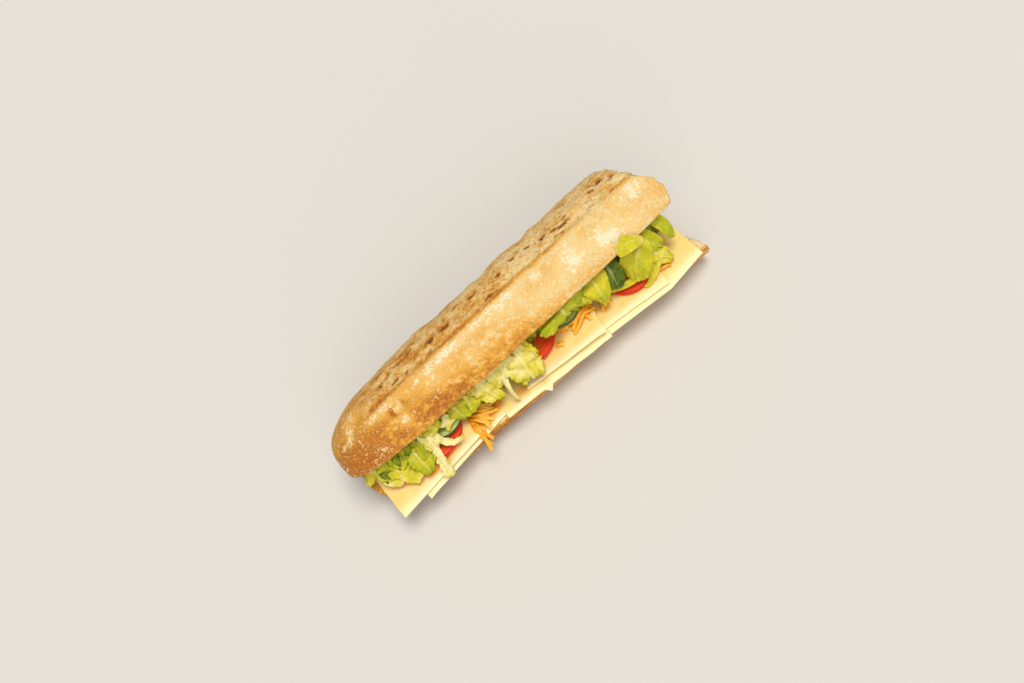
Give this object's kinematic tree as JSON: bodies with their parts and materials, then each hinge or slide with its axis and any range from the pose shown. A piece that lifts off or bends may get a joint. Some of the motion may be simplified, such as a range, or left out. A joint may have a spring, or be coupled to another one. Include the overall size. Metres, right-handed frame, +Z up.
{
  "type": "cheese sandwich",
  "caption": "Half baguette opened along its front and filled with cheese slices, tomato, cucumber, carrot shreds and lettuce, with a rounded end and a slanting cut end.",
  "frame": {"origin": "middle of the flat underside of the loaf, where the sandwich rests", "axes": "+X along the loaf, from the round end to the cut end; -Y to the open front with the filling; +Z up"},
  "size_m": [0.2418, 0.0786, 0.0754],
  "materials": {
    "crust": "baked crust, floury and matt",
    "cheese": "smooth, slightly waxy",
    "tomato": "moist",
    "cucumber": "moist",
    "carrot": "fresh, slightly moist",
    "lettuce": "fresh leaf"
  },
  "bodies": {
    "root": {"bread_bottom": "crust", "bread_top": "crust", "cheese_slice_1": "cheese", "cheese_slice_2": "cheese", "cheese_slice_3": "cheese", "cheese_slice_4": "cheese", "cheese_slice_5": "cheese", "cheese_slice_6": "cheese", "tomato_slice_1": "tomato", "tomato_slice_2": "tomato", "tomato_slice_3": "tomato", "tomato_slice_4": "tomato", "cucumber_slice_1": "cucumber", "cucumber_slice_2": "cucumber", "carrot_shreds_1": "carrot", "carrot_shreds_2": "carrot", "carrot_shreds_3": "carrot", "carrot_shreds_4": "carrot", "carrot_shreds_5": "carrot", "carrot_bit_1": "carrot", "carrot_bit_2": "carrot", "lettuce_heap": "lettuce", "lettuce_leaf_1": "lettuce", "lettuce_leaf_2": "lettuce", "lettuce_leaf_3": "lettuce", "lettuce_leaf_4": "lettuce"}
  },
  "joints": []
}
